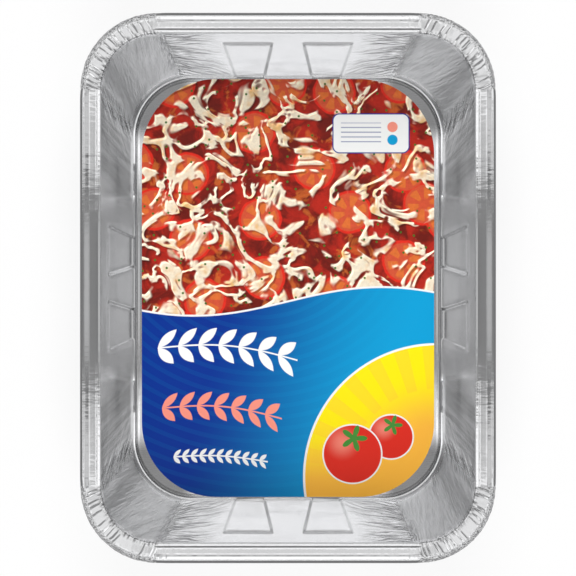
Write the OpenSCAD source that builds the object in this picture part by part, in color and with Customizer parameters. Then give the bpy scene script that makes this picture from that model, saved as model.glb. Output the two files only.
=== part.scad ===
// Rectangular foil roasting pan, drawn from one aluminium sheet: a flat floor with a raised field,
// four sloping walls with pressed trapezoid panels, a beaded flange that gathers into pleats at the
// corners, and a rolled edge. A printed card lies loose on the floor.
// The pan stands on z = 0, centred on the origin, with its length along Y.

/* [Opening] */
// Length of the opening at the top of the walls
opening_l = 332.5; // [320:0.5:360]
// Width of the opening at the top of the walls
opening_w = 245; // [225:0.5:270]
// Overall height, from the table to the crest of the rolled edge
pan_h = 69; // [60:0.5:80]
// Corner radius of the opening
opening_r = 37; // [34:0.5:44]
// Thickness of the foil
foil_t = 0.13; // [0.1:0.01:0.25]

/* [Walls] */
// How far each long wall leans in on its way down
side_lean = 14.9; // [10:0.1:18]
// How far each short wall leans in on its way down
end_lean = 18.8; // [14:0.1:22]
// Corner radius at the foot of the walls
foot_r = 42; // [39:0.5:46]
// Height of the small ledge at the foot of the walls
foot_h = 4.6; // [3.8:0.1:7]
// Width of that ledge
ledge_w = 0.8; // [0.5:0.1:1.2]
// Radius of the cove between ledge and floor
cove_r = 2.6; // [2:0.1:3]

/* [Pressed panels] */
// Panels on each long wall
side_panels = 4; // [2:1:4]
// Distance between panels on a long wall
side_pitch = 49.8; // [46:0.1:51]
// Panels on each short wall
end_panels = 2; // [1:1:2]
// Distance between panels on a short wall
end_pitch = 53; // [46:0.5:58]
// Width of a panel at its top edge
panel_top_w = 33; // [28:0.5:36]
// Width of a panel at the foot of the wall
panel_foot_w = 20.5; // [16:0.5:26]
// How far the panels are pressed outwards
panel_depth = 1.4; // [0.6:0.1:2]
// Distance from the rim's crest down to the top edge of a panel
panel_drop = 13; // [10:0.5:20]
// Width of the sloping edge round a panel
panel_edge = 2.6; // [1.5:0.1:4]

/* [Rim] */
// Width of the rim, from the opening to the outside of the rolled edge
rim_w = 12.8; // [11:0.1:15]
// Outer radius of the rolled edge
curl_r = 2.5; // [1.5:0.1:3]
// How far the flange lies below the crest of the rolled edge
flange_drop = 1.4; // [1.2:0.1:1.6]
// Width of the bead along the inner edge of the flange
bead_w = 2.4; // [1.5:0.1:3]
// Height of the bead above the flange
bead_h = 0.6; // [0.3:0.1:1]

/* [Corner pleats] */
// Pleats gathered into the flange at each corner
corner_pleats = 11; // [8:1:12]
// Height of a pleat on the flange
pleat_h = 0.75; // [0.3:0.05:1]
// How deep the rolled edge is crushed at the corners
curl_crush = 0.45; // [0:0.05:0.6]
// Depth of the pressed-flat pleats on the corner walls
wall_pleat = 0.22; // [0:0.02:0.4]
// Seed of the uneven pleats
pleat_seed = 7; // [1:1:50]

/* [Floor] */
// Width of the floor that touches the table, inside the cove
stand_w = 9; // [6:0.5:14]
// Rise of the field in the middle of the floor
field_h = 1.2; // [0.6:0.1:2]
// Width of the slope up to that field
field_edge = 2.2; // [1:0.1:4]

/* [Card] */
// Gap between the card and the cove, along the long walls
card_side_gap = 4.3; // [2:0.1:8]
// Gap between the card and the cove, along the short walls
card_end_gap = 0.3; // [0.3:0.1:5]
// Corner radius of the card
card_r = 52; // [44:1:60]
// Thickness of the card
card_t = 0.4; // [0.3:0.05:0.8]

/* [Hidden] */

// The path of the foil's upper face from the middle of the floor to the edge of the roll.
// Each point is [share of the wall's lean, distance outwards from the sloping wall, height].
floor_out = -ledge_w - cove_r;
field_out = floor_out - stand_w;
flange_z = pan_h - flange_drop;
wall_top_z = flange_z - bead_h;
wall_foot_z = foot_h + ledge_w;
panel_top_z = pan_h - panel_drop;
curl_out = rim_w - curl_r;
curl_z = pan_h - curl_r;
curl_start = 180 - asin((flange_z - curl_z) / curl_r);
curl_end = -170;
curl_angles = [curl_start, 122, 90, 45, 0, -45, -90, -132, curl_end];

function wall_share(z) = (wall_top_z - z) / (wall_top_z - wall_foot_z);

floor_path = [
    [1, field_out - field_edge, foil_t + field_h],
    [1, field_out, foil_t],
    [1, floor_out, foil_t],
    [1, floor_out + cove_r * sin(50), foil_t + cove_r * (1 - cos(50))],
    [1, -ledge_w, foot_h - ledge_w / 4],
    [1, -ledge_w / 4, foot_h]
];
wall_path = [
    [1, 0, wall_foot_z],
    [wall_share(panel_top_z - panel_edge), 0, panel_top_z - panel_edge],
    [wall_share(panel_top_z), 0, panel_top_z],
    [0, 0, wall_top_z]
];
bead_path = [
    [0, bead_w * 0.4, flange_z + bead_h],
    [0, bead_w, flange_z]
];
curl_path = [for (a = curl_angles) [0, curl_out + curl_r * cos(a), curl_z + curl_r * sin(a)]];
foil_path = concat(floor_path, wall_path, bead_path, curl_path);

wall_foot_row = len(floor_path);
ledge_row = wall_foot_row - 2;
panel_last_row = wall_foot_row + 1;
wall_top_row = wall_foot_row + len(wall_path) - 1;
bead_row = wall_top_row + 1;
curl_row = bead_row + len(bead_path);
rows = len(foil_path);

// Half width and half length of the pan at a point of the path, and its corner radius there
function half_w(p) = opening_w / 2 - p[0] * side_lean + p[1];
function half_l(p) = opening_l / 2 - p[0] * end_lean + p[1];
function corner_r(p) = opening_r + p[0] * (foot_r - opening_r) + p[1];

// The path seen in a cut through a wall, and its unit normal, pointing away from the upper face
mean_lean = (side_lean + end_lean) / 2;
function cut_point(i) = [foil_path[i][1] - foil_path[i][0] * mean_lean, foil_path[i][2]];
function unit(v) = v / norm(v);
function across(v) = [v[1], -v[0]];
function normal_at(i) =
    let (
        before = across(unit(cut_point(max(i, 1)) - cut_point(max(i, 1) - 1))),
        after = across(unit(cut_point(min(i, rows - 2) + 1) - cut_point(min(i, rows - 2)))),
        middle = unit(before + after)
    )
    middle / (middle * before);

// A row is a point of the path on the upper face, or the point one foil thickness behind it
function row_point(i, back) =
    let (p = foil_path[i], n = back ? normal_at(i) * foil_t : [0, 0])
    [p[0], p[1] + n[0], p[2] + n[1]];

// Walls and corners are numbered 0 to 3, anticlockwise from +X, each corner after its wall
function turned(v, quarter) =
    let (q = quarter % 4)
    q == 0 ? v : q == 1 ? [-v[1], v[0]] : q == 2 ? [-v[0], -v[1]] : [v[1], -v[0]];
function half_across(p, wall) = wall % 2 == 0 ? half_w(p) : half_l(p);
function half_along(p, wall) = wall % 2 == 0 ? half_l(p) : half_w(p);

// Stations along a wall: four at each panel, [wall, panel centre, side of it, in or out of the panel]
function panel_centres(wall) =
    let (n = wall % 2 == 0 ? side_panels : end_panels, pitch = wall % 2 == 0 ? side_pitch : end_pitch)
    [for (k = [0 : n - 1]) (k - (n - 1) / 2) * pitch];
function wall_stations(wall) =
    [for (c = panel_centres(wall)) for (e = [[-1, 0], [-1, 1], [1, 1], [1, 0]]) ["wall", wall, c, e[0], e[1]]];

// Stations round a corner: a crest and a trough for each pleat, [corner, angle, lift, crush].
// The uneven values come from the seed, and fade out at the two ends of the corner.
pleat_steps = 2 * corner_pleats;
function uneven(corner) = rands(0.45, 1, 3 * (pleat_steps + 1), pleat_seed + corner);
function corner_stations(corner) =
    let (u = uneven(corner))
    [for (k = [0 : pleat_steps])
        let (
            inner = k > 0 && k < pleat_steps,
            shift = inner ? (u[3 * k] - 0.7) * 0.8 : 0,
            crest = k % 2
        )
        [
            "corner", corner, (k + shift) * 90 / pleat_steps,
            crest * u[3 * k + 1],
            inner ? (1 - crest) * u[3 * k + 2] : 0
        ]
    ];
stations = [for (q = [0 : 3]) each concat(wall_stations(q), corner_stations(q))];
count = len(stations);

// Place on a wall. Panels are pressed outwards between their foot and their top edge.
function wall_point(s, i, p) =
    let (
        height = (p[2] - wall_foot_z) / (panel_top_z - wall_foot_z),
        spread = min(max(height, 0), 1),
        half = (panel_foot_w + (panel_top_w - panel_foot_w) * spread) / 2,
        along = s[2] + s[3] * (half - panel_edge * (s[4] - 0.5)),
        pressed = s[4] == 1 && i >= ledge_row && i <= panel_last_row ? panel_depth : 0,
        flat = turned([half_across(p, s[1]) + pressed, along], s[1])
    )
    [flat[0], flat[1], p[2]];

// Place on a corner. Pleats lift the flange, and the rolled edge and the wall are crushed inwards.
function corner_point(s, i, p) =
    let (
        on_wall = i >= wall_foot_row && i <= wall_top_row,
        on_flange = i >= bead_row && i <= curl_row,
        on_curl = i > curl_row,
        squeeze = on_wall ? wall_pleat * s[3] : 0,
        lift = on_flange ? min(pleat_h, pan_h - p[2]) * s[3] : 0,
        crush = on_curl ? curl_crush * s[4] : 0,
        toward_roll = unit([curl_out, curl_z] - [p[1], p[2]]) * crush,
        r = corner_r(p) - squeeze + (on_curl ? toward_roll[0] : 0),
        centre = [half_across(p, s[1]) - corner_r(p), half_along(p, s[1]) - corner_r(p)],
        flat = turned(centre + r * [cos(s[2]), sin(s[2])], s[1])
    )
    [flat[0], flat[1], p[2] + lift + (on_curl ? toward_roll[1] : 0)];

function foil_point(s, i, back) =
    let (p = row_point(i, back))
    s[0] == "wall" ? wall_point(s, i, p) : corner_point(s, i, p);

// Points are stored ring by ring, first the upper face, then the lower face, then the two centres
function ring(i, back) = [for (s = stations) foil_point(s, i, back)];
foil_points = concat(
    [for (i = [0 : rows - 1]) each ring(i, false)],
    [for (i = [0 : rows - 1]) each ring(i, true)],
    [[0, 0, foil_t + field_h], [0, 0, field_h]]
);
upper_centre = 2 * rows * count;
lower_centre = upper_centre + 1;
function at(i, k) = i * count + k % count;
function band(i, j) = [for (k = [0 : count - 1]) [at(i, k), at(j, k), at(j, k + 1), at(i, k + 1)]];
function flipped(quads) = [for (f = quads) [f[0], f[3], f[2], f[1]]];
foil_faces = concat(
    [for (k = [0 : count - 1]) [upper_centre, at(0, k + 1), at(0, k)]],
    [for (i = [0 : rows - 2]) each flipped(band(i, i + 1))],
    flipped(band(rows - 1, 2 * rows - 1)),
    [for (i = [0 : rows - 2]) each band(rows + i, rows + i + 1)],
    [for (k = [0 : count - 1]) [lower_centre, at(rows, k), at(rows, k + 1)]]
);

module pan() {
    color([0.78, 0.79, 0.8]) polyhedron(points = foil_points, faces = foil_faces);
}

// The card lies flat on the raised field. Its ends reach out over the foot of the cove, which is
// this far out from the floor's edge at the height of the card.
cove_reach = sqrt(2 * cove_r * field_h - field_h * field_h);
card_limit = [1, floor_out + cove_reach, 0];
card_w = 2 * (half_w(card_limit) - card_side_gap);
card_l = 2 * (half_l(card_limit) - card_end_gap);

module rounded_plate(w, l, r, t) {
    linear_extrude(height = t) union() {
        square([w - 2 * r, l], center = true);
        square([w, l - 2 * r], center = true);
        for (x = [-1, 1], y = [-1, 1])
            translate([x * (w / 2 - r), y * (l / 2 - r)]) circle(r = r, $fn = 96);
    }
}

module label_card() {
    color([0.1, 0.3, 0.62])
        translate([0, 0, foil_t + field_h]) rounded_plate(card_w, card_l, card_r, card_t);
}

pan();
label_card();
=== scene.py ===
# Foil roasting pan with a printed card lying on its floor.
# Lengths are in millimetres until they reach a mesh or a lamp, which are in metres.
import math
from types import SimpleNamespace

import bpy
import numpy as np
from mathutils import Matrix, Vector


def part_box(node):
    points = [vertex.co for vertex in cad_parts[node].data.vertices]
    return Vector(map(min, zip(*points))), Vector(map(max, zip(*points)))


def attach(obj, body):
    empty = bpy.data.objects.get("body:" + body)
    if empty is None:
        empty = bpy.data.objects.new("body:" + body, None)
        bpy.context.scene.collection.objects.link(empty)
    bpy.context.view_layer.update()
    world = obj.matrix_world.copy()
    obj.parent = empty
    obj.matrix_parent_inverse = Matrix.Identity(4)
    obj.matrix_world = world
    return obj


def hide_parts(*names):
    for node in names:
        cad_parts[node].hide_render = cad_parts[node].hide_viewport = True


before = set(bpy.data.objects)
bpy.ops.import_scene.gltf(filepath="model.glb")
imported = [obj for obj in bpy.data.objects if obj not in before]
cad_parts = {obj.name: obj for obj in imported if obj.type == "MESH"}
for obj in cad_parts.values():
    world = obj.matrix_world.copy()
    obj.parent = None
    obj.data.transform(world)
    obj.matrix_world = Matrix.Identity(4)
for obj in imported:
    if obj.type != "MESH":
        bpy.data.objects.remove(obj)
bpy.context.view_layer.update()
mm = 0.001


# Node trees. A Value is an output of a node that takes part in plain arithmetic.

class Value:
    def __init__(self, socket):
        self.socket = socket

    def __add__(self, other):
        return maths("ADD", self, other)

    def __sub__(self, other):
        return maths("SUBTRACT", self, other)

    def __rsub__(self, other):
        return maths("SUBTRACT", other, self)

    def __mul__(self, other):
        return maths("MULTIPLY", self, other)

    def __truediv__(self, other):
        return maths("DIVIDE", self, other)

    def __pow__(self, other):
        return maths("POWER", self, other)

    def __abs__(self):
        return maths("ABSOLUTE", self)

    __radd__ = __add__
    __rmul__ = __mul__

    def ramp(self, low, high, toLow=0.0, toHigh=1.0):
        # a soft ramp of the value from low to high, put out as toLow to toHigh
        return addValue(self.socket.id_data, "ShaderNodeMapRange", self, low, high, toLow, toHigh,
                        interpolation_type="SMOOTHSTEP")

    def fall(self, low, high):
        return self.ramp(low, high, 1.0, 0.0)


def feed(socket, value):
    # an output is joined, anything else is set as the socket's own value
    if isinstance(value, Value):
        value = value.socket
    if isinstance(value, bpy.types.NodeSocket):
        socket.id_data.links.new(value, socket)
    elif value is not None:
        socket.default_value = value


def addNode(tree, kind, *values, **settings):
    node = tree.nodes.new(kind)
    for name, setting in settings.items():
        setattr(node, name, setting)
    for socket, value in zip(node.inputs, values):
        feed(socket, value)
    return node


def addValue(tree, kind, *values, output=0, **settings):
    return Value(addNode(tree, kind, *values, **settings).outputs[output])


def maths(operation, *values, clamp=False):
    # at least one of the values is an output
    tree = next(value.socket.id_data for value in values if isinstance(value, Value))
    return addValue(tree, "ShaderNodeMath", *values, operation=operation, use_clamp=clamp)


def joinXYZ(tree, x=0.0, y=0.0, z=0.0):
    return addNode(tree, "ShaderNodeCombineXYZ", x, y, z).outputs[0]


def splitXYZ(tree, vector):
    return [Value(socket) for socket in addNode(tree, "ShaderNodeSeparateXYZ", vector).outputs]


def scaled(tree, vector, factor):
    node = addNode(tree, "ShaderNodeVectorMath", vector, operation="SCALE")
    feed(node.inputs["Scale"], factor)
    return node.outputs[0]


def lengthOf(tree, vector):
    return addValue(tree, "ShaderNodeVectorMath", vector, operation="LENGTH", output="Value")


def placeInMm(tree):
    return scaled(tree, tree.nodes.new("ShaderNodeTexCoord").outputs["Object"], 1 / mm)


def cloud(tree, vector, scale, detail=2.0, roughness=0.5, distortion=0.0):
    # plain noise, 0 to 1
    node = tree.nodes.new("ShaderNodeTexNoise")
    for name, value in (("Vector", vector), ("Scale", scale), ("Detail", detail),
                        ("Roughness", roughness), ("Distortion", distortion)):
        feed(node.inputs[name], value)
    return Value(node.outputs[0])


def noiseAt(x, y, seed, detail=2.0, roughness=0.5):
    # noise about zero, -1 to 1
    tree = x.socket.id_data
    return cloud(tree, joinXYZ(tree, x, y, seed), 1.0, detail, roughness) * 2.0 - 1.0


def cellsAt(tree, place, scale=1.0, dimensions="3D", randomness=1.0):
    node = tree.nodes.new("ShaderNodeTexVoronoi")
    node.voronoi_dimensions = dimensions
    feed(node.inputs["W" if dimensions == "1D" else "Vector"], place)
    feed(node.inputs["Scale"], scale)
    feed(node.inputs["Randomness"], randomness)
    return node


def blendColour(tree, amount, first, second):
    node = addNode(tree, "ShaderNodeMix", data_type="RGBA", clamp_factor=True)
    feed(node.inputs[0], amount)
    feed(node.inputs[6], first)
    feed(node.inputs[7], second)
    return node.outputs[2]


def addRelief(tree, shader, height):
    # a height in millimetres as the shader's bump
    bump = tree.nodes.new("ShaderNodeBump")
    feed(bump.inputs["Strength"], 1.0)
    feed(bump.inputs["Distance"], mm)
    feed(bump.inputs["Height"], height)
    feed(shader.inputs["Normal"], bump.outputs[0])


def makeGroup(name, inputs, outputs):
    # inputs are (name, kind, value) and outputs are names of masks and heights
    group = bpy.data.node_groups.new(name, "ShaderNodeTree")
    for label, kind, value in inputs:
        socket = group.interface.new_socket(label, in_out="INPUT", socket_type=kind)
        socket.default_value = value
    for label in outputs:
        group.interface.new_socket(label, in_out="OUTPUT", socket_type="NodeSocketFloat")
    given = {socket.name: Value(socket) for socket in group.nodes.new("NodeGroupInput").outputs}
    return group, given, group.nodes.new("NodeGroupOutput").inputs


def placeGroup(tree, group, **values):
    # the outputs of a copy of the group, by name
    node = tree.nodes.new("ShaderNodeGroup")
    node.node_tree = group
    for name, value in values.items():
        feed(node.inputs[name], value)
    return {socket.name: Value(socket) for socket in node.outputs}


def newMaterial(name):
    material = bpy.data.materials.new(name)
    material.use_nodes = True
    tree = material.node_tree
    return material, tree, tree.nodes["Principled BSDF"]


def addObject(name, data):
    thing = bpy.data.objects.new(name, data)
    bpy.context.scene.collection.objects.link(thing)
    return thing


def ringFaces(rowCount, count, first=0):
    # faces between closed rows of points
    faces = []
    for a in range(first, first + (rowCount - 1) * count, count):
        for k in range(count):
            n = (k + 1) % count
            faces.append((a + k, a + count + k, a + count + n, a + n))
    return faces


# The pan's sheet of foil, before its corners are gathered

panSizes = {
    "foil": 0.13,
    "rimWidth": 12.8,  # from the opening to the outside of the roll
    "openingRadius": 37.0,
    "footRadius": 42.0,
    "sideLean": 14.9,  # how far a long wall leans in from its top to its foot
    "endLean": 18.8,
    "cove": 2.3,
    "coveTurns": (25, 50, 72),  # in degrees
    "footHeight": 4.6,
    "ledge": 1.1,
    # steps out over the ledge as shares of it, each with its height over the foot
    "ledgePath": ((-1.0, -0.9), (-0.98, -0.3), (-0.85, -0.05), (-0.45, 0.01), (-0.1, 0.09)),
    "standWidth": 12.5,  # flat ring that the pan stands on
    "fieldHeight": 0.8,  # raised field of the floor, under the card
    "fieldEdge": 1.0,
    "fieldRow": 1.5,  # row of points inside the field's edge
    "floorRow": 0.8,  # row of points before the cove
    "flangeDrop": 0.52,  # from the crest of the roll down to the flange
    # distance out from the opening, height over the flange
    "beadPath": ((-0.7, -1.0), (-0.58, -0.5), (-0.35, -0.05), (0.0, 0.22), (0.45, 0.36),
                 (0.95, 0.41), (1.4, 0.38), (1.9, 0.24), (2.35, 0.09), (2.8, 0.0)),
    "beadSink": 0.8,  # share of the bead that is pressed flat in the corners
    # distance out from the outside of the rim, drop from the crest of the roll
    "rollPath": ((-5.4, 0.52), (-5.25, 0.48), (-4.8, 0.372), (-4.3, 0.262), (-3.8, 0.17),
                 (-3.2, 0.08), (-2.6, 0.02), (-2.1, 0.0), (-1.8, 0.04), (-1.4, 0.17),
                 (-0.9, 0.42), (-0.03, 0.86), (0.0, 2.0), (-0.6, 3.6), (-1.9, 4.6),
                 (-3.4, 4.6), (-4.6, 3.5)),
    "sidePanels": 4,
    "sidePitch": 49.8,
    "endPanels": 2,
    "endPitch": 53.0,
    "panelTop": 33.0,
    "panelFoot": 20.5,
    "panelDepth": 1.4,
    "panelDrop": 13.0,  # from the crest of the roll down to a panel's top edge
    "panelEdge": 2.6,
    "panelSoftTop": 2.2,  # the top edge is wider than the others by this
    "lastPanelShare": 0.06,  # depth of the first and last panel of a long wall above the ledge
    "endOuterShare": 0.75,  # depth of an end wall's panels beside the corners
    # painted shade on the slanting edges of a long wall's middle panels, from +y to -y, darker on one
    # side as if lit from one end
    "sideEdgeShade": (0.75, 0.85, 1.25, 0.1),
    "endEdgeShade": 0.32,
}
sheetSteps = {
    "corner": 100,
    "cornerToPanelLong": 19,
    "cornerToPanelShort": 21,
    "edge": 3,
    "panel": 8,
    "gap": 6,
    "wallRows": 13,
    "topRows": 3,
}


def rampOver(values, low, high):
    t = np.clip((np.asarray(values, float) - low) / (high - low), 0, 1)
    return t * t * (3 - 2 * t)


def foilSection(s, height):
    # rows from the middle of the floor to the edge of the roll:
    # share of the wall's lean, distance out from the sloping wall, height, zone
    foil, cove, ledge, edge = s["foil"], s["cove"], s["ledge"], s["panelEdge"]
    floorOut = -ledge - cove
    fieldOut, fieldZ = floorOut - s["standWidth"], foil + s["fieldHeight"]
    floorRows = [(fieldOut - s["fieldEdge"] - s["fieldRow"], fieldZ), (fieldOut - s["fieldEdge"], fieldZ),
                 (fieldOut - s["fieldEdge"] / 2, foil + s["fieldHeight"] / 2), (fieldOut, foil),
                 (floorOut - s["floorRow"], foil), (floorOut, foil)]
    rows = [(1, out, z, "floor") for out, z in floorRows]
    for degrees in s["coveTurns"]:
        turn = math.radians(degrees)
        rows.append((1, floorOut + cove * math.sin(turn), foil + cove * (1 - math.cos(turn)), "cove"))
    for out, rise in s["ledgePath"]:
        rows.append((1, out * ledge, s["footHeight"] + rise, "cove" if rise < -0.5 else "ledge"))

    # the wall ends below the bead, which starts a little inside the opening
    flangeZ, footZ, panelZ = height - s["flangeDrop"], s["footHeight"] + ledge, height - s["panelDrop"]
    topOut, topRise = s["beadPath"][0]
    wallTop = flangeZ + topRise
    wallRows = [footZ, footZ + 1.5, *np.linspace(footZ + 4.5, panelZ - edge, sheetSteps["wallRows"]),
                panelZ - edge * 0.6, panelZ - edge * 0.25, panelZ,
                *np.linspace(panelZ + 3, wallTop - 1.4, sheetSteps["topRows"]), wallTop]
    for z in wallRows:
        share = (wallTop - z) / (wallTop - footZ)
        rows.append((share, topOut * (1 - share), z, "wall"))
    rows += [(0, out, flangeZ + rise, "bead") for out, rise in s["beadPath"][1:]]
    flangeStart, flangeEnd = s["beadPath"][-1][0], s["rimWidth"] + s["rollPath"][0][0]
    for share in (0.33, 0.67):
        rows.append((0, flangeStart + (flangeEnd - flangeStart) * share, flangeZ, "flange"))
    return rows + [(0, s["rimWidth"] + out, height - drop, "roll") for out, drop in s["rollPath"]]


def foilRows(s):
    # what each row has for itself: half sizes, corner radius, height, zone, share of the panels' press
    low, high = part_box("pan")
    height = high.z / mm
    openingW = (high.x - low.x) / mm - 2 * s["rimWidth"]
    openingL = (high.y - low.y) / mm - 2 * s["rimWidth"]
    share, out, z, zones = zip(*foilSection(s, height))
    share, out, z = np.array(share), np.array(out), np.array(z)
    footZ, panelZ = s["footHeight"] + s["ledge"], height - s["panelDrop"]
    # panels are pressed out from the ledge to their top edge
    press = np.array([zone in ("wall", "ledge") for zone in zones], float)
    press *= 1 - rampOver(z, panelZ - s["panelEdge"] * s["panelSoftTop"], panelZ)
    press[lastOf("cove", zones)] = 0.6
    # the first and last panel of a long wall are hardly pressed above the ledge
    shallowPress = press * np.where(z < footZ, 1, s["lastPanelShare"])
    return SimpleNamespace(
        halfW=openingW / 2 - share * s["sideLean"] + out,
        halfL=openingL / 2 - share * s["endLean"] + out,
        radius=s["openingRadius"] + share * (s["footRadius"] - s["openingRadius"]) + out,
        z=z, zones=zones, press=press, shallowPress=shallowPress, flangeZ=height - s["flangeDrop"],
        spread=np.clip((z - footZ) / (panelZ - footZ), 0, 1))


def lastOf(zone, zones):
    return max(k for k, name in enumerate(zones) if name == zone)


def wallMarks(s, rows, end, longWall):
    # where the edges of a wall's panels start and stop, with the share of the press
    count, pitch = (s["sidePanels"], s["sidePitch"]) if longWall else (s["endPanels"], s["endPitch"])
    half = (s["panelFoot"] + (s["panelTop"] - s["panelFoot"]) * rows.spread) / 2
    edge = s["panelEdge"] / 2
    outer = 1 if longWall else s["endOuterShare"]
    marks = [(-end, 0)]
    for k in range(count):
        centre = (k - (count - 1) / 2) * pitch
        marks += [(centre - half - edge, 0), (centre - half + edge, outer if k == 0 else 1),
                  (centre + half - edge, outer if k == count - 1 else 1), (centre + half + edge, 0)]
    return marks + [(end, 0)]


def foilColumns(s, rows):
    # for each station: x and y, outward direction, distance past the corner, painted shade of a panel's
    # edge
    columns = []
    for quarter in range(4):
        longWall = quarter % 2 == 0
        across, halfAlong = (rows.halfW, rows.halfL) if longWall else (rows.halfL, rows.halfW)
        turn = quarter * math.pi / 2
        along0 = np.array([-math.sin(turn), math.cos(turn)])
        out0 = np.array([math.cos(turn), math.sin(turn)])
        end = halfAlong - rows.radius
        marks = wallMarks(s, rows, end, longWall)
        last = len(marks) - 2
        for k, ((start, pressA), (stop, pressB)) in enumerate(zip(marks, marks[1:])):
            onEdge = bool(pressA) != bool(pressB)
            shallow = longWall and not 5 <= k <= last - 5
            if k in (0, last):
                steps = sheetSteps["cornerToPanelLong" if longWall else "cornerToPanelShort"]
            else:
                steps = sheetSteps["edge" if onEdge else "panel" if pressA else "gap"]
            # painted shade on the slanting edges of the panels, which the foil's colour takes from the
            # mesh
            edgeShade = 0
            if onEdge and longWall and not shallow:
                order = (k - 5) // 2
                edgeShade = s["sideEdgeShade"][3 - order if quarter == 0 else order]
            elif onEdge and not longWall and k in (1, last - 1):
                edgeShade = s["endEdgeShade"]
            for t in np.arange(steps) / steps:
                along = start * (1 - t) + stop * t
                press = pressA + (pressB - pressA) * rampOver(t, 0, 1)
                pressed = press * (rows.shallowPress if shallow else rows.press) * s["panelDepth"]
                place = np.outer(across + pressed, out0) + np.outer(along, along0)
                paintedEdgeShade = edgeShade * (1 - (2 * t - 1) ** 4) * rows.press
                columns.append((place, out0, end - abs(along), paintedEdgeShade))
        for angle in (np.arange(sheetSteps["corner"]) + 0.5) / sheetSteps["corner"] * math.pi / 2:
            way = math.cos(angle) * out0 + math.sin(angle) * along0
            centre = np.outer(across - rows.radius, out0) + np.outer(halfAlong - rows.radius, along0)
            past = -min(angle, math.pi / 2 - angle) * rows.radius
            columns.append((centre + np.outer(rows.radius, way), way, past, 0 * rows.press))
    return columns


def buildFoilMesh(s):
    rows = foilRows(s)
    z, zones = rows.z, rows.zones
    xy, ways, past, panelEdge = zip(*foilColumns(s, rows))
    xy, past, panelEdge = (np.stack(values, axis=1) for values in (xy, past, panelEdge))
    rowCount, count = past.shape
    inZone = {zone: np.array([name == zone for name in zones], float) for zone in set(zones)}
    overFlange = inZone["bead"] * np.clip(z - rows.flangeZ, 0, None) * s["beadSink"]
    sink = overFlange[:, None] * (1 - rampOver(past, -3, 1))
    points = np.concatenate([xy, (z[:, None] - sink)[:, :, None]], axis=2)
    faces = [tuple(range(count))] + ringFaces(rowCount, count)
    mesh = bpy.data.meshes.new("foilPan")
    mesh.from_pydata((points * mm).reshape(-1, 3).tolist(), [], faces)

    # the flat blank's own coordinates, for the rolling lines: foot of the wall plus the length of foil
    middle = (rows.halfW + rows.halfL) / 2
    length = np.concatenate([[0], np.cumsum(np.hypot(np.diff(middle), np.diff(z)))])
    footRow, wallRow = zones.index("wall"), lastOf("wall", zones)
    blank = xy[footRow][None] + (length - length[footRow])[:, None, None] * np.stack(ways)[None]
    uv = mesh.uv_layers.new(name="blank")
    corners = np.zeros(len(mesh.loops), np.int32)
    mesh.loops.foreach_get("vertex_index", corners)
    uv.data.foreach_set("uv", (blank * mm).reshape(-1, 2)[corners].ravel().astype(np.float32))

    def store(name, values):
        attribute = mesh.attributes.new(name, "FLOAT", "POINT")
        full = np.broadcast_to(values, (rowCount, count)).astype(np.float32).ravel()
        attribute.data.foreach_set("value", full)

    flangeLine = xy[zones.index("flange")]
    steps = np.linalg.norm(np.roll(flangeLine, -1, axis=0) - flangeLine, axis=1)
    store("pastCorner", past)
    # the attribute panelEdge carries the painted shade of the panels' slanting edges
    store("panelEdge", panelEdge)
    store("rimRun", np.concatenate([[0], np.cumsum(steps)[:-1]])[None, :])
    wallTop, rollRow = z[wallRow], np.cumsum(inZone["roll"])
    byRow = {
        "sectionRun": length - length[wallRow],
        "wallHeight": z,
        "flangeShare": (inZone["flange"] + inZone["bead"] * 0.8
                        + inZone["wall"] * rampOver(z, wallTop - 4, wallTop) * 0.6
                        + inZone["roll"] * (1 - rampOver(rollRow, 1, 6))),
        "rollShare": inZone["roll"] * rampOver(rollRow, 1, 5),
        "wallShare": inZone["wall"] * rampOver(z, 6, 14) * (1 - rampOver(z, wallTop - 3, wallTop)),
    }
    for name, values in byRow.items():
        store(name, values[:, None])
    return mesh


# Gathering of the corners: pleats on the flange, a crushed roll, draw wrinkles on the walls

gatherSizes = {
    "Pleat pitch": 4.6,
    "Pleat height": 0.09,
    "Roll crush": 0.3,
    "Wrinkle depth": 0.3,
    "Crinkle depth": 0.35,
    "Cone streak": 0.12,
    "Wall dimple": 0.14,
    "Flange ripple": 0.06,
    "Seed": 4.0,
}


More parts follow.
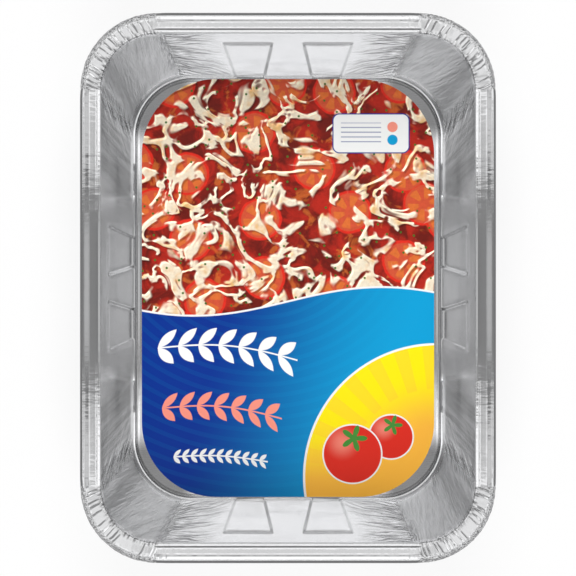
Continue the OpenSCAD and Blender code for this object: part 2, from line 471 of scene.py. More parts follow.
def gatherTree():
    tree = bpy.data.node_groups.new("gatherCorners", "GeometryNodeTree")
    face = tree.interface
    face.new_socket("Geometry", in_out="INPUT", socket_type="NodeSocketGeometry")
    for name, value in gatherSizes.items():
        face.new_socket(name, in_out="INPUT", socket_type="NodeSocketFloat").default_value = value
    face.new_socket("Foil", in_out="INPUT", socket_type="NodeSocketMaterial")
    face.new_socket("Geometry", in_out="OUTPUT", socket_type="NodeSocketGeometry")
    given = {socket.name: Value(socket) for socket in tree.nodes.new("NodeGroupInput").outputs}

    def sheetValue(name):
        return addValue(tree, "GeometryNodeInputNamedAttribute", name, data_type="FLOAT")

    def noise(x, y, detail=2.0, roughness=0.5):
        return noiseAt(x, y, given["Seed"], detail, roughness)

    past, run, section = sheetValue("pastCorner"), sheetValue("rimRun"), sheetValue("sectionRun")
    height = sheetValue("wallHeight")
    inCorner = past.fall(-2.0, 7.0)

    # pleats: a sharp wave along the rim with an uneven pitch, each pleat of its own height
    wander = noise(run * 0.21, 3.0) * 0.9
    slantAcross = noise(run * 0.1, section * 0.12) * 0.5
    turns = run / given["Pleat pitch"] + (wander + slantAcross)
    wave = maths("PINGPONG", turns, 0.5)
    chance = addNode(tree, "ShaderNodeTexWhiteNoise", noise_dimensions="1D")
    feed(chance.inputs["W"], maths("FLOOR", turns))
    ownHeight = Value(chance.outputs["Value"]) ** 2.0 * 1.1 + 0.1
    onFlange = sheetValue("flangeShare")
    pleat = wave * 2.0 * ownHeight * given["Pleat height"] * onFlange * inCorner

    # ripples of the flange beyond the corner
    rippleZone = past.ramp(4.0, 14.0, 0.0, 1.0) * past.fall(40.0, 75.0)
    ripple = noise(run * 0.3, section * 0.05, 1.0) * given["Flange ripple"] * onFlange * rippleZone

    # the roll is crushed into small facets
    facets = cellsAt(tree, joinXYZ(tree, run * 0.55, section * 0.6, given["Seed"]))
    crush = Value(facets.outputs["Distance"]) * -1.3 - 0.25 + noise(run * 0.8, section * 0.5, 3.0) * 0.6
    crush = crush * given["Roll crush"] * sheetValue("rollShare") * inCorner

    # draw wrinkles: wavy ridges that run from the corner into the straight wall
    wander = noise(run * 0.035, height * 0.03) * 3.2
    ridges = 0.5 - abs(noise(run * 0.022, height * 0.17 + wander, 3.0, 0.62))
    fade = past.ramp(-1.0, 4.0, 0.0, 1.0) * past.fall(8.0, 42.0)
    wrinkle = ridges * fade * (given["Wrinkle depth"] * 2.0)

    # the band of crinkles where the straight wall meets the corner
    bandWander = noise(height * 0.12, 5.0) * 2.5
    band = abs(past - 1.0 + bandWander).fall(1.0, 5.5)
    crinkle = noise(run * 0.42, height * 0.3, 3.0, 0.6) * band * given["Crinkle depth"]

    # faint streaks down the corner, and slight unevenness of all the walls
    onCone = past.fall(-6.0, 2.0)
    streak = noise(run * 0.16, height * 0.018, 2.0) * given["Cone streak"] * onCone
    dimple = noise(run * 0.045, height * 0.05, 2.0) * given["Wall dimple"]
    onWall = (wrinkle + crinkle + (streak + dimple)) * sheetValue("wallShare")

    raised = pleat + ripple + (crush + onWall)
    outwards = tree.nodes.new("GeometryNodeInputNormal").outputs[0]
    moved = tree.nodes.new("GeometryNodeSetPosition")
    feed(moved.inputs["Geometry"], given["Geometry"])
    feed(moved.inputs["Offset"], scaled(tree, outwards, raised * mm))
    real = addNode(tree, "GeometryNodeRealizeInstances", moved.outputs[0])
    coated = tree.nodes.new("GeometryNodeSetMaterial")
    feed(coated.inputs["Geometry"], real.outputs[0])
    feed(coated.inputs["Material"], given["Foil"])
    result = tree.nodes.new("NodeGroupOutput")
    feed(result.inputs[0], coated.outputs[0])
    return tree


def makeFoilPan(foil):
    mesh = buildFoilMesh(panSizes)
    rough = addObject("foilSheet", mesh)
    gather = rough.modifiers.new("gather", "NODES")
    tree = gatherTree()
    gather.node_group = tree
    settings = {**gatherSizes, "Foil": foil}
    for item in tree.interface.items_tree:
        if item.in_out == "INPUT" and item.name in settings:
            gather[item.identifier] = settings[item.name]
    skin = rough.modifiers.new("thickness", "SOLIDIFY")
    skin.thickness = panSizes["foil"] * mm
    skin.offset = -1
    skin.use_even_offset = False
    evaluated = rough.evaluated_get(bpy.context.evaluated_depsgraph_get())
    finished = bpy.data.meshes.new_from_object(evaluated)
    bpy.data.objects.remove(rough)
    finished.name = "foilPan"
    pan = addObject("foilPan", finished)
    finished.shade_smooth()
    finished.set_sharp_from_angle(angle=math.radians(38))
    print("foil pan:", len(finished.polygons), "faces")
    return pan


# Bright rolled aluminium

foilLook = {
    "colour": (0.87, 0.872, 0.88, 1),
    "cloudColour": (0.82, 0.823, 0.835, 1),  # in streaks along the rolling lines
    "roughness": 0.16,
    "gatheredRoughness": 0.19,  # added where the foil is gathered
    "lineWidth": 0.35,  # of the rolling lines
    "lineDepth": 0.006,
    "dentSize": 16.0,
    "dentDepth": 0.12,
    "wallTop": 66.0,
    "foldPitch": 2.4,  # along the rim
    "foldDepth": 0.24,
    "foldLean": 0.0092,
    "crushSize": 0.95,
    "crushDepth": 0.32,
    "bandLean": 8.0,  # lean of the crinkled band into the corner, at the wall's foot
    "wrinkleSpacing": 4.6,
    "wrinkleDepth": 0.38,
    "wrinkleReach": 46.0,  # from the corner along the wall
    "strokeSpacing": 2.8,
    "strokeDepth": 0.9,
    "crinkleDepth": 1.1,
    "streakDepth": 0.5,
    "rippleDepth": 0.12,
    "cavityShade": 0.62,  # how dark a full share of painted shade makes the foil
    "shadeBesideCard": 0.29,
    "cardCorner": 52.0,  # radius of the card's corners
}


def rollingLinesGroup():
    # fine lines that run across the sheet, as a height and a mask for the colour
    group, given, result = makeGroup(
        "rollingLines",
        [("Sheet", "NodeSocketVector", (0, 0, 0)), ("Line width", "NodeSocketFloat", 0.3),
         ("Seed", "NodeSocketFloat", 0.0)],
        ["Height", "Cloud"])
    x, y, _ = splitXYZ(group, given["Sheet"])
    fineY = y / given["Line width"]
    fineX = x / (given["Line width"] * 60.0)
    fine = cloud(group, joinXYZ(group, fineX, fineY, given["Seed"]), 1.0, 3.0, 0.7)
    wide = cloud(group, joinXYZ(group, fineX * 0.4, fineY * 0.1, given["Seed"]), 1.0)
    feed(result["Height"], fine)
    feed(result["Cloud"], wide)
    return group


def sheetValue(tree, name):
    # a value that the foil's mesh carries
    return addValue(tree, "ShaderNodeAttribute", attribute_name=name, output="Fac")


def onSheet(tree, look, place):
    # where a point lies on the sheet of foil, and its share of each zone
    names = ("pastCorner", "rimRun", "sectionRun", "wallHeight", "wallShare")
    past, run, out, height, onWall = (sheetValue(tree, name) for name in names)
    share = maths("SUBTRACT", 1.0, height / look["wallTop"], clamp=True)
    x, y, _ = splitXYZ(tree, place)
    endWall = (abs(y) - abs(x)).ramp(38.0, 46.0)
    # distance past the end of the gathered corner, which leans inwards low on the walls
    past = past + (endWall * 3.0 + look["bandLean"]) * share
    inCorner = past.fall(-1.5, 1.5)
    return SimpleNamespace(
        x=x, y=y, past=past, run=run, out=out, height=height, share=share, onWall=onWall,
        endWall=endWall, inCorner=inCorner, onRim=out.ramp(-1.5, 0.0), onRoll=out.ramp(10.0, 11.2))


def rimFolds(tree, look, at):
    past, run, out = at.past, at.run, at.out
    inCorner, onRim, onRoll = at.inCorner, at.onRim, at.onRoll
    # folds across the flange: narrow ridges that lean towards the corner's diagonal, some starting late
    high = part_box("pan")[1]
    fromDiagonal = abs(at.x) - abs(at.y) + (high.y - high.x) / mm
    lean = maths("SIGN", at.x * at.y) * fromDiagonal * (12.0 - out) * look["foldLean"]
    slant = noiseAt(run * 0.07, out * 0.08, 2.0) * 0.5 + lean / look["foldPitch"]
    places = cellsAt(tree, run / look["foldPitch"] + slant, dimensions="1D")
    chance = splitXYZ(tree, places.outputs["Color"])
    aside = Value(places.outputs["Distance"])
    halfWidth = (chance[0] * 0.2 + 0.12) * out.ramp(-1.0, 9.0, 0.6, 1.2)
    starts = chance[2] * 4.5 - 1.5
    present = maths("MULTIPLY", out - starts, 0.5, clamp=True)
    grouped = noiseAt(run * 0.06, 8.0, 25.0, 1.0).ramp(-0.3, 0.2, 0.6, 1.0)
    present = present * maths("GREATER_THAN", chance[1], 0.35) * grouped
    ridge = maths("SUBTRACT", 1.0, aside / halfWidth, clamp=True) * present
    onFlange = inCorner * onRim * (1.0 - onRoll)
    folds = ridge * onFlange * look["foldDepth"]
    beyond = aside - halfWidth
    valley = beyond.ramp(-0.04, 0.02) * beyond.fall(0.06, 0.18) * present
    tuck = aside.ramp(0.2, 0.42) * onRim * out.fall(1.0, 5.0) * chance[0]

    # crushed foil: the roll, and the inner edge of the flange
    size = look["crushSize"]
    cells = cellsAt(tree, joinXYZ(tree, run / size, out / size, 3.0))
    crush = Value(cells.outputs["Distance"]) + noiseAt(run * 0.9, out * 0.8, 5.0) * 0.4
    crush = (crush - 0.5) * onRoll * inCorner * look["crushDepth"]
    nearEdge = out.ramp(-1.5, 0.5) * out.fall(1.0, 4.0)
    tucks = noiseAt(run * 0.55, out * 0.12, 17.0, 2.0, 0.6)
    crush = crush + tucks * nearEdge * inCorner * look["crinkleDepth"] * 0.35

    # ripples along the straight flange
    ripple = noiseAt(run * 0.2, out * 0.06, 15.0, 2.0, 0.6)
    ripple = (ripple * (1.0 - inCorner) * onRim * past.ramp(50.0, 90.0, 1.0, 0.35)
              * past.ramp(4.0, 30.0, 1.8, 1.0) * look["rippleDepth"])
    # painted highlight on the fold ridges, painted shade beside them and at the tucks
    pleatShadeAndHighlight = (ridge.ramp(0.05, 0.35, 0.24, -0.25) + valley * 0.35 + tuck * 1.2) * onFlange
    return SimpleNamespace(folds=folds, crush=crush, ripple=ripple, pleatShadeAndHighlight=pleatShadeAndHighlight)


def wallFolds(look, at):
    past, run, height, share = at.past, at.run, at.height, at.share
    onWall, endWall = at.onWall, at.endWall
    # the band of crinkles where each straight wall meets the corner
    wander = noiseAt(height * 0.1, 5.0, 1.0) * 3.0
    band = abs(past - 1.0 + wander).fall(0.5, 6.0)
    crinkle = noiseAt(run * 0.5 + height * 0.2, height * 0.14, 7.0, 2.0, 0.6)
    crinkle = crinkle * band * onWall * look["crinkleDepth"] * (endWall * -0.3 + 1.0)

    # draw wrinkles: wavy lines that fan out from the band along the straight walls
    fan = (share * 0.5 + 0.04 + (1.0 - endWall) * 0.8) * past
    wave = noiseAt(past * 0.06, height * 0.05, 9.0, 1.0) * 3.0
    across = (height + fan + wave) / look["wrinkleSpacing"]
    line = (1.0 - abs(noiseAt(past * 0.04, across, 11.0, 1.5, 0.5))) ** 3.0
    fade = past.ramp(0.0, 3.0) * past.fall(look["wrinkleReach"] * 0.2, look["wrinkleReach"])
    wrinkle = line * fade * onWall * look["wrinkleDepth"] * (endWall * 0.75 + 0.25)

    # streaks down the corner
    streak = noiseAt(run * 0.17 + height * 0.05, height * 0.03, 13.0, 3.0, 0.6)
    fine = noiseAt(run * 0.55 + height * 0.12, height * 0.07, 21.0, 2.0, 0.6)
    streak = (fine * 0.3 + streak) * past.fall(-4.0, 1.0) * onWall * look["streakDepth"]
    # short strokes across the line between a side wall and the corner
    slope = past * 1.1 + height
    strokes = noiseAt(past * 0.09, slope / look["strokeSpacing"], 23.0, 2.0, 0.6)
    strokes = strokes * (1.0 - endWall) * past.ramp(-6.0, -1.0) * past.fall(4.0, 14.0) * onWall
    return SimpleNamespace(crinkle=crinkle, wrinkle=wrinkle, streak=streak, strokes=strokes,
                           line=line, fade=fade)


def paintedShadeShare(tree, at, rim, wall):
    past, out, height, onWall = at.past, at.out, at.height, at.onWall
    endWall, inCorner, onRoll = at.endWall, at.inCorner, at.onRoll
    # painted shade in the narrow hollows of folds, crushed cells, crinkles and the streaks of the corner,
    # painted highlight on their rises, and painted shade on the crushed roll in the corners
    paintedShade = rim.pleatShadeAndHighlight - (rim.crush * 1.5 + wall.crinkle * 0.9) - wall.streak + onRoll * inCorner * 0.4
    # painted shade between the wrinkle lines of the side walls, and painted highlight on the end walls,
    # near the corners
    sideShade = (0.45 - wall.line) * (1.0 - endWall) * 0.14
    paintedShade = paintedShade + (endWall * -0.14 + sideShade) * wall.fade * onWall
    # painted shade: the side walls are darker beside the corner
    besideCorner = ((1.0 - endWall) * past.fall(27.0, 73.0) * past.ramp(-2.0, 6.0)
                    * past.ramp(-2.0, 20.0, 0.6, 1.0))
    thin = noiseAt(past * 0.35, height * 0.02, 19.0)
    allWall = height.ramp(6.0, 14.0) * out.fall(-0.4, 0.6)
    paintedShade = paintedShade + besideCorner * allWall * (thin * 0.4 + 0.9)
    # painted shade on the roll's inner slope and, on the end walls, on the outer foot of the bead
    endRoll = out.ramp(8.0, 8.8) * out.fall(9.6, 10.8) * endWall * 0.75
    sideRoll = (out.ramp(8.2, 8.8) * out.fall(11.0, 12.2) * past.ramp(45.0, 75.0, 0.85, 0.3)
                * (1.0 - endWall))
    inwardRoll = (endRoll + sideRoll) * (1.0 - inCorner)
    beadFoot = out.ramp(3.0, 3.6) * out.fall(4.4, 5.2) * (1.0 - inCorner) * endWall
    paintedShade = maths("ADD", paintedShade, beadFoot * 0.22 + inwardRoll, clamp=True)
    # painted shade on the first and last panel of a side wall, and on the slanting edges that the mesh
    # marks
    lastPanel = ((1.0 - endWall) * past.ramp(32.0, 50.0) * abs(at.y).ramp(56.0, 64.0)
                 * height.ramp(10.0, 30.0, 0.5, 1.0))
    paintedShade = paintedShade + (besideCorner * 0.3 + lastPanel * 0.55) * allWall + sheetValue(tree, "panelEdge")
    # painted highlights on the ridges of the wrinkles and on the strokes next to the corner
    lit = wall.line.ramp(0.5, 0.85) * past.ramp(-1.0, 2.0) * past.fall(4.0, 16.0) * onWall
    lit = wall.strokes * 3.6 + lit * (endWall * -0.6 + 1.2)
    return maths("MAXIMUM", paintedShade - lit, -0.25)


def foldHeights(tree, look, place):
    # heights in millimetres of the folds that are finer than the mesh, share of gathered foil, and
    # painted shade (below zero, painted highlight)
    at = onSheet(tree, look, place)
    rim, wall = rimFolds(tree, look, at), wallFolds(look, at)
    heights = (rim.folds + rim.crush + wall.crinkle + wall.wrinkle + wall.streak + rim.ripple
               + wall.strokes * look["strokeDepth"])
    foot = at.height.ramp(1.3, 2.2) * at.height.fall(7.0, 12.0)
    gathered = at.past.fall(-2.0, 6.0) * maths("MAXIMUM", at.onWall, foot)
    gathered = maths("MAXIMUM", gathered, wall.fade * at.onWall * 0.25)
    return heights, gathered, paintedShadeShare(tree, at, rim, wall)


def outsideCard(tree, place):
    # distance in millimetres outside the card's rounded outline
    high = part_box("label_card")[1]
    radius = foilLook["cardCorner"]
    x, y, _ = splitXYZ(tree, place)
    x = abs(x) - (high.x / mm - radius)
    y = abs(y) - (high.y / mm - radius)
    corner = joinXYZ(tree, maths("MAXIMUM", x, 0.0), maths("MAXIMUM", y, 0.0))
    inner = maths("MINIMUM", maths("MAXIMUM", x, y), 0.0)
    return lengthOf(tree, corner) + inner - radius


def makeFoilMaterial():
    material, tree, shader = newMaterial("brightFoil")
    look = foilLook
    shader.inputs["Metallic"].default_value = 1.0
    place = placeInMm(tree)
    sheet = scaled(tree, addNode(tree, "ShaderNodeUVMap", uv_map="blank").outputs[0], 1 / mm)
    lines = placeGroup(tree, rollingLinesGroup(),
                       **{"Sheet": sheet, "Line width": look["lineWidth"], "Seed": 2.0})

    # folds as heights, share of gathered foil, and painted shade and highlight for the colour
    folds, gathered, paintedShade = foldHeights(tree, look, place)
    tone = blendColour(tree, lines["Cloud"], look["cloudColour"], look["colour"])
    # painted shade on the floor in the narrow channel at the card's corners, which is also rougher there
    height = sheetValue(tree, "wallHeight")
    past = sheetValue(tree, "pastCorner")
    beside = (outsideCard(tree, place).ramp(-0.8, 0.2) * height.fall(0.3, 1.8)
              * past.ramp(-10.0, 8.0, 1.0, 0.08))
    shade = (1.0 - beside * (1 - look["shadeBesideCard"])) * (1.0 - paintedShade * look["cavityShade"])
    feed(shader.inputs["Base Color"], scaled(tree, tone, shade))
    rough = lines["Height"] * 0.08 + (look["roughness"] - 0.04)
    rough = gathered * look["gatheredRoughness"] + (beside * 0.12 + rough)
    feed(shader.inputs["Roughness"], rough)

    dents = cloud(tree, place, 1 / look["dentSize"])
    addRelief(tree, shader, lines["Height"] * look["lineDepth"] + dents * look["dentDepth"] + folds)
    return material


# The printed card

cardLook = {
    "deepBlue": (0.0, 0.030, 0.27, 1),
    "cyan": (0.0, 0.34, 0.66, 1),
    "yellow": (1.0, 0.82, 0.0, 1),
    "orange": (1.0, 0.49, 0.05, 1),
    "sauce": (0.45, 0.020, 0.010, 1),
    "darkSauce": (0.14, 0.010, 0.006, 1),
    "oil": (0.72, 0.18, 0.03, 1),
    "flesh": (0.62, 0.085, 0.035, 1),
    "cream": (0.90, 0.80, 0.62, 1),
    "golden": (0.80, 0.47, 0.16, 1),
    "herb": (0.07, 0.15, 0.02, 1),
    "coral": (0.93, 0.30, 0.22, 1),
    "tomato": (0.72, 0.025, 0.012, 1),
    "green": (0.06, 0.26, 0.04, 1),
    "white": (0.92, 0.92, 0.91, 1),
    "board": (0.50, 0.45, 0.38, 1),
    "sliceSpacing": 47.0,
    "sliceRadius": 15.0,
    "sunPlace": (104.0, -132.0),
    "sunRadius": 92.0,
    "tomatoes": ((72.0, -104.0, 15.0), (45.0, -116.0, 20.0)),  # middle and radius
    "curveRise": 10.0,  # the blue field's upper edge is a sine
    "curveTurn": 0.024,
    "curveMiddle": -10.0,
    "panelPlace": (58.0, 108.0),
    "panelHalf": (22.0, 9.0),  # to the middles of its rounded corners
    "panelCorner": 5.0,
    "panelLine": 0.8,
    # stems with paired leaves: start, length, turn in degrees, spacing, leaf length, colour
    "sprigs": (((-91.0, -42.0), 98.0, -5.0, 14.0, 17.0, "white"),
               ((-88.0, -84.0), 84.0, -5.0, 12.0, 14.0, "coral"),
               ((-80.0, -118.0), 66.0, -3.0, 6.0, 7.0, "white")),
}


def cheeseGroup():
    # strands and patches of melted cheese, as a mask
    group, given, result = makeGroup("meltedCheese", [("Place", "NodeSocketVector", (0, 0, 0))],
                                     ["Mask"])
    strand = cloud(group, given["Place"], 0.03, 2.0, 0.4, 1.6) * 2.0 - 1.0
    broken = cloud(group, given["Place"], 0.06, 2.0).ramp(0.42, 0.48)
    strand = abs(strand).fall(0.055, 0.11) * broken
    patch = cloud(group, given["Place"], 0.03, 3.0, 0.55, 1.0).ramp(0.58, 0.63)
    feed(result["Mask"], maths("MAXIMUM", strand, patch))
    return group


def sprigGroup():
    # a stem with pairs of leaves, along the x axis of its own place, as a mask
    group, given, result = makeGroup(
        "leafySprig",
        [("Place", "NodeSocketVector", (0, 0, 0)), ("Length", "NodeSocketFloat", 80.0),
         ("Spacing", "NodeSocketFloat", 12.0), ("Leaf", "NodeSocketFloat", 14.0)],
        ["Mask"])
    length, spacing, leaf = (given[name] for name in ("Length", "Spacing", "Leaf"))
    x, y, _ = splitXYZ(group, given["Place"])
    bend = maths("SINE", x / length * math.pi) * (leaf * 0.35)
    side = abs(y - bend)
    near = maths("MODULO", x + spacing * 10.0, spacing)
    share = x / length
    within = maths("GREATER_THAN", share, 0.0) * maths("LESS_THAN", share, 1.0)
    # along and across a leaf that stands at 45 degrees to the stem
    along = (near + side) * 0.7071
    across = abs((side - near) * 0.7071)
    reach = along / leaf * 2.0 - 1.0
    half = (1.0 - reach * reach) * (leaf * 0.2)
    blade = (half - across).ramp(-0.15, 0.25)
    stem = side.fall(0.35, 0.7)
    feed(result["Mask"], maths("MAXIMUM", blade, stem) * within)
    return group


def makeCardMaterial():
    material, tree, shader = newMaterial("printedCard")
    look = cardLook
    spaces = tree.nodes.new("ShaderNodeTexCoord").outputs
    x, y, _ = splitXYZ(tree, scaled(tree, spaces["Object"], 1 / mm))
    flat = joinXYZ(tree, x, y)

    def moved(dx, dy, turn=0.0):
        away = addNode(tree, "ShaderNodeVectorMath", flat, (dx, dy, 0), operation="SUBTRACT").outputs[0]
        if not turn:
            return away
        node = addNode(tree, "ShaderNodeVectorRotate", rotation_type="Z_AXIS")
        feed(node.inputs["Vector"], away)
        node.inputs["Angle"].default_value = math.radians(-turn)
        return node.outputs[0]

    def angleOf(vector):
        parts = splitXYZ(tree, vector)
        return maths("ARCTAN2", parts[1], parts[0])

    def within(value, limit, soft=0.25):
        return (value - limit).fall(-soft, soft)

    def paint(colour, share, name):
        return blendColour(tree, share, colour, look[name])

    # baked food: sauce with oil, round slices, herbs, and melted cheese that stands a little proud
    colour = blendColour(tree, cloud(tree, flat, 0.055, 4.0, 0.6, 0.8).ramp(0.38, 0.62),
                         look["darkSauce"], look["sauce"])
    colour = paint(colour, cloud(tree, moved(70, 20), 0.075, 3.0, 0.6, 0.6).ramp(0.54, 0.66) * 0.55,
                   "oil")
    cellPlace = scaled(tree, moved(13, 31), 1 / look["sliceSpacing"])
    cells = cellsAt(tree, cellPlace, dimensions="2D", randomness=0.75)
    fromMiddle = Value(cells.outputs["Distance"]) * look["sliceSpacing"]
    fromMiddle = fromMiddle + (cloud(tree, flat, 0.12) * 2.4 - 1.2)
    local = addNode(tree, "ShaderNodeVectorMath", cellPlace, cells.outputs["Position"],
                    operation="SUBTRACT").outputs[0]
    slice_ = within(fromMiddle, look["sliceRadius"], 0.5)
    lobes = maths("SINE", angleOf(local) * 6.0)
    pocket = within(fromMiddle, look["sliceRadius"] * 0.76, 0.7) * fromMiddle.ramp(3.0, 5.0)
    pocket = pocket * lobes.ramp(-0.35, 0.1)
    colour = paint(colour, slice_, "tomato")
    colour = paint(colour, within(fromMiddle, look["sliceRadius"] * 0.88, 0.5), "flesh")
    colour = paint(colour, pocket * 0.75, "oil")
    flecks = cellsAt(tree, flat, 0.11, dimensions="2D")
    fleck = (within(Value(flecks.outputs["Distance"]), 0.09, 0.03)
             * maths("GREATER_THAN", splitXYZ(tree, flecks.outputs["Color"])[0], 0.55))
    cheese = cheeseGroup()
    melted = placeGroup(tree, cheese, Place=flat)["Mask"]
    lit = placeGroup(tree, cheese, Place=moved(1.1, -1.3))["Mask"]
    cream = blendColour(tree, cloud(tree, flat, 0.06, 3.0, 0.6).ramp(0.5, 0.72), look["cream"],
                        look["golden"])
    colour = blendColour(tree, melted * 0.95, colour, cream)
    colour = paint(colour, fleck, "herb")
    shade = (melted - lit) * 0.45 + 1.0
    grain = cloud(tree, flat, 0.35, 3.0, 0.7) * 0.5 + 0.75
    food = scaled(tree, colour, shade * grain)

    # blue field below a long curve, with arcs in its own tone and a white line above it
    above = y - (maths("SINE", x * look["curveTurn"]) * look["curveRise"] + look["curveMiddle"])
    blue = blendColour(tree, (x - y * 0.25).ramp(-45.0, 95.0), look["deepBlue"], look["cyan"])
    arcs = maths("SINE", lengthOf(tree, moved(-20.0, 60.0)) * 0.8)
    arcs = arcs.ramp(0.2, 0.5) * x.ramp(-30.0, 70.0, 0.05, 0.22)
    blue = paint(blue, arcs, "cyan")
    colour = paint(food, within(above, 1.3), "white")
    colour = blendColour(tree, within(above, 0.0), colour, blue)

    # sun with rays, and tomatoes in front of it
    fromSun = moved(*look["sunPlace"])
    sun, radius = lengthOf(tree, fromSun), look["sunRadius"]
    warmth = sun.ramp(radius * 0.35, radius * 0.8) * y.ramp(-140.0, -95.0)
    warm = blendColour(tree, warmth, look["orange"], look["yellow"])
    rays = maths("SINE", angleOf(fromSun) * 28.0).ramp(-0.1, 0.1)
    rays = rays * sun.ramp(radius * 0.66, radius * 0.68, 0.0, 0.28)
    warm = paint(warm, rays, "orange")
    colour = paint(colour, within(sun, radius + 1.5), "white")
    colour = blendColour(tree, within(sun, radius), colour, warm)
    for cx, cy, size in look["tomatoes"]:
        away = lengthOf(tree, moved(cx, cy))
        colour = paint(colour, within(away, size + 1.0), "white")
        colour = paint(colour, within(away, size), "tomato")
        gleam = lengthOf(tree, moved(cx - size * 0.35, cy + size * 0.4))
        colour = paint(colour, gleam.ramp(0.0, size * 0.7, 0.75, 0.0), "coral")
        crown = moved(cx + 1.0, cy + size * 0.55)
        points = maths("COSINE", angleOf(crown) * 5.0) * (size * 0.17) + size * 0.3
        colour = paint(colour, within(lengthOf(tree, crown) - points, 0.0), "green")

    # leafy sprigs on the blue
    sprig = sprigGroup()
    for (sx, sy), length, turn, spacing, leaf, name in look["sprigs"]:
        place = moved(sx, sy, turn)
        drawn = placeGroup(tree, sprig, Place=place, Length=length, Spacing=spacing, Leaf=leaf)
        colour = paint(colour, drawn["Mask"], name)

    # bare white panel with thin rules and two small coloured marks, in the upper right
    (panelX, panelY), (halfX, halfY) = look["panelPlace"], look["panelHalf"]
    px, py, _ = splitXYZ(tree, moved(panelX, panelY))
    ax, ay = abs(px), abs(py)
    corner = joinXYZ(tree, maths("MAXIMUM", ax - halfX, 0.0), maths("MAXIMUM", ay - halfY, 0.0))
    panel, edge = lengthOf(tree, corner), look["panelCorner"]
    rules = maths("GREATER_THAN", maths("SINE", py * 1.9), 0.72) * within(ay, 7.5)
    rules = rules * (within(abs(px + 7.0), 14.0) * 0.6)
    colour = paint(colour, within(panel, edge), "deepBlue")
    colour = paint(colour, within(panel, edge - look["panelLine"]), "white")
    colour = paint(colour, rules, "deepBlue")
    for dy, name in ((4.5, "coral"), (-4.5, "cyan")):
        colour = paint(colour, within(lengthOf(tree, moved(panelX + 15, panelY + dy)), 3.6), name)

    # only the upper face is printed
    facing = splitXYZ(tree, spaces["Normal"])[2]
    colour = blendColour(tree, maths("GREATER_THAN", facing, 0.5), look["board"], colour)
    feed(shader.inputs["Base Color"], colour)
    fibre = cloud(tree, flat, 1.6, 3.0, 0.6)
    feed(shader.inputs["Roughness"], fibre * 0.12 + 0.42)
    feed(shader.inputs["Specular IOR Level"], 0.2)
    addRelief(tree, shader, fibre * 0.02)
    return material


# Studio: white floor, a room that is bright at both ends of the pan, camera straight above
# metres for the floor and its wall, watts for the lamps; a tone is a share of full white
studio = {
    "cameraHeight": 969.0,
    "viewWidth": 374.4,  # width of the picture at viewDepth below the camera
    "viewDepth": 900.0,
    "floorSize": 12.0,
    "floorRing": 96,
    "wallRise": 2.6,
    "floorTone": 0.93,
    "floorGlow": 0.8,
    "lampAway": 900.0,
    "lampHeight": 1000.0,
    "lampSize": 900.0,
    "lampPower": 12.0,
    "roomTone": 0.2,
    "panelHeight": 300.0,
    "panelSpan": 640.0,
    "middleTone": 0.6,
    "middleReach": (125.0, 58.0),
    "middleSoft": (30.0, 14.0),
    "gapTone": 0.23,
    "endStart": 106.0,  # along the pan, over its middle and over its long rims
    "endStartByRim": 85.0,
    "endTone": 1.42,
    "sideFrom": (95.0, 165.0),  # across the pan
    "endSideTone": 0.52,
    "cornerFrom": (140.0, 180.0),  # along the pan
    "cornerTone": 1.0,
    "outerFrom": (185.0, 225.0),  # across the pan
    "outerTone": 1.1,
    "rimLine": 216.0,  # a dimmer line, which the end rims reflect
    "rimShare": 0.48,
    "panelEnd": 285.0,
    "panelEndTone": 0.3,
    "horizonTone": 0.9,  # of the room, low down
}


def makeLightPanel(s):
    # the soft panel over the pan that the foil reflects: a faint middle, a dim gap round it, bright ends
    bpy.ops.mesh.primitive_plane_add(size=s["panelSpan"] * mm, location=(0, 0, 0))
    panel = bpy.context.object
    panel.name = "lightPanel"
    panel.data.transform(Matrix.Translation((0, 0, s["panelHeight"] * mm)))
    material, tree, shader = newMaterial("panelLight")
    tree.nodes.remove(shader)
    x, y, _ = splitXYZ(tree, placeInMm(tree))
    across, along = abs(x), abs(y)
    (reachX, reachY), (softX, softY) = s["middleReach"], s["middleSoft"]
    middle = across.fall(reachX - softX, reachX + softX) * along.fall(reachY - softY, reachY + softY)
    middle = middle.ramp(0.0, 1.0, s["gapTone"], s["middleTone"])
    sideTone = along.ramp(*s["cornerFrom"], s["endSideTone"], s["cornerTone"])
    end = across.ramp(*s["sideFrom"], s["endTone"], sideTone)
    end = maths("MAXIMUM", end, across.ramp(*s["outerFrom"], 0.0, s["outerTone"]))
    fromRim = abs(along - s["rimLine"])
    rimShare = across.ramp(110.0, 140.0, s["rimShare"], 1.0)
    end = end * fromRim.ramp(15.0, 38.0, rimShare, 1.0)
    end = end * along.ramp(s["panelEnd"] - 10, s["panelEnd"] + 10, 1.0, s["panelEndTone"])
    start = across.ramp(60.0, 130.0, s["endStart"], s["endStartByRim"])
    level = addNode(tree, "ShaderNodeMix", (along - start).ramp(-9.0, 9.0), data_type="FLOAT")
    feed(level.inputs[2], middle)
    feed(level.inputs[3], end)
    glow = addNode(tree, "ShaderNodeEmission", (1, 1, 1, 1), level.outputs[0])
    feed(tree.nodes["Material Output"].inputs["Surface"], glow.outputs[0])
    panel.data.materials.append(material)
    panel.visible_camera = panel.visible_diffuse = panel.visible_shadow = False


def seenRays(tree):
    # 1 for the rays that show the surroundings: straight to the camera, in metal or through glass
    rays = tree.nodes.new("ShaderNodeLightPath").outputs
    seen = maths("MAXIMUM", Value(rays["Is Camera Ray"]), rays["Is Glossy Ray"])
    return maths("MAXIMUM", seen, rays["Is Transmission Ray"])


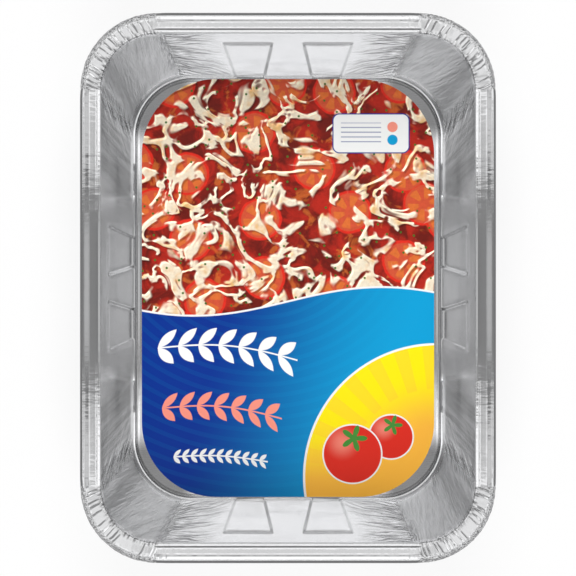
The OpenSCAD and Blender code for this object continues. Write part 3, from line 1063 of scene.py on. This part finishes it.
def makeFloor(s):
    # a wide disc that turns up into a low wall far away
    ring, size = s["floorRing"], s["floorSize"]
    rows = ((0.85, 0.0), (0.93, 0.02), (0.98, 0.07), (1.0, s["wallRise"] / size))
    points = [(0, 0, 0)]
    for share, rise in rows:
        for k in range(ring):
            angle = 2 * math.pi * k / ring
            points.append((share * size * math.cos(angle), share * size * math.sin(angle), rise * size))
    faces = [(0, 1 + k, 1 + (k + 1) % ring) for k in range(ring)] + ringFaces(len(rows), ring, 1)
    mesh = bpy.data.meshes.new("studioFloor")
    mesh.from_pydata(points, [], faces)
    mesh.shade_smooth()
    floor = addObject("studioFloor", mesh)
    material, tree, shader = newMaterial("paleFloor")
    shader.inputs["Base Color"].default_value = (s["floorTone"],) * 3 + (1,)
    shader.inputs["Roughness"].default_value = 0.9
    shader.inputs["Specular IOR Level"].default_value = 0.0
    glow = addNode(tree, "ShaderNodeEmission", (1, 1, 1, 1), 1.0)
    mixed = addNode(tree, "ShaderNodeMixShader", seenRays(tree) * s["floorGlow"])
    feed(mixed.inputs[1], shader.outputs[0])
    feed(mixed.inputs[2], glow.outputs[0])
    feed(tree.nodes["Material Output"].inputs["Surface"], mixed.outputs[0])
    mesh.materials.append(material)


def makeStudio(s):
    makeFloor(s)
    makeLightPanel(s)
    world = bpy.data.worlds.new("studioRoom")
    bpy.context.scene.world = world
    world.use_nodes = True
    world.node_tree.nodes["Background"].inputs["Color"].default_value = (1, 1, 1, 1)
    # the room is as pale as the floor low down, for what the foil reflects, and dim above
    tree = world.node_tree
    _, _, z = splitXYZ(tree, tree.nodes.new("ShaderNodeTexCoord").outputs["Generated"])
    pale = z.ramp(0.24, 0.36, s["horizonTone"] - s["roomTone"], 0.0)
    strength = pale * seenRays(tree) + s["roomTone"]
    feed(tree.nodes["Background"].inputs["Strength"], strength)
    # soft lamps over both ends, for the matt surfaces; the foil has the room to reflect
    for side in (-1, 1):
        lamp = bpy.data.lights.new("endLamp", "AREA")
        lamp.size = s["lampSize"] * mm
        lamp.energy = s["lampPower"]
        lampObject = addObject("endLamp", lamp)
        where = Vector((0, side * s["lampAway"], s["lampHeight"])) * mm
        lampObject.location = where
        lampObject.rotation_euler = (-where).to_track_quat("-Z", "Y").to_euler()
        lampObject.visible_glossy = False

    camera = bpy.data.cameras.new("camera")
    camera.lens = camera.sensor_width * s["viewDepth"] / s["viewWidth"]
    cameraObject = addObject("camera", camera)
    cameraObject.location = (0, 0, s["cameraHeight"] * mm)
    bpy.context.scene.camera = cameraObject
    bpy.context.scene.view_settings.view_transform = "Standard"
    print("studio: floor, room, lamps and camera are set")


foil = makeFoilMaterial()
pan = makeFoilPan(foil)
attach(pan, "root")
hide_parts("pan")

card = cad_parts["label_card"]
card.data.materials.clear()
card.data.materials.append(makeCardMaterial())
card.visible_glossy = card.visible_diffuse = card.visible_shadow = False
print("card: printed")

makeStudio(studio)
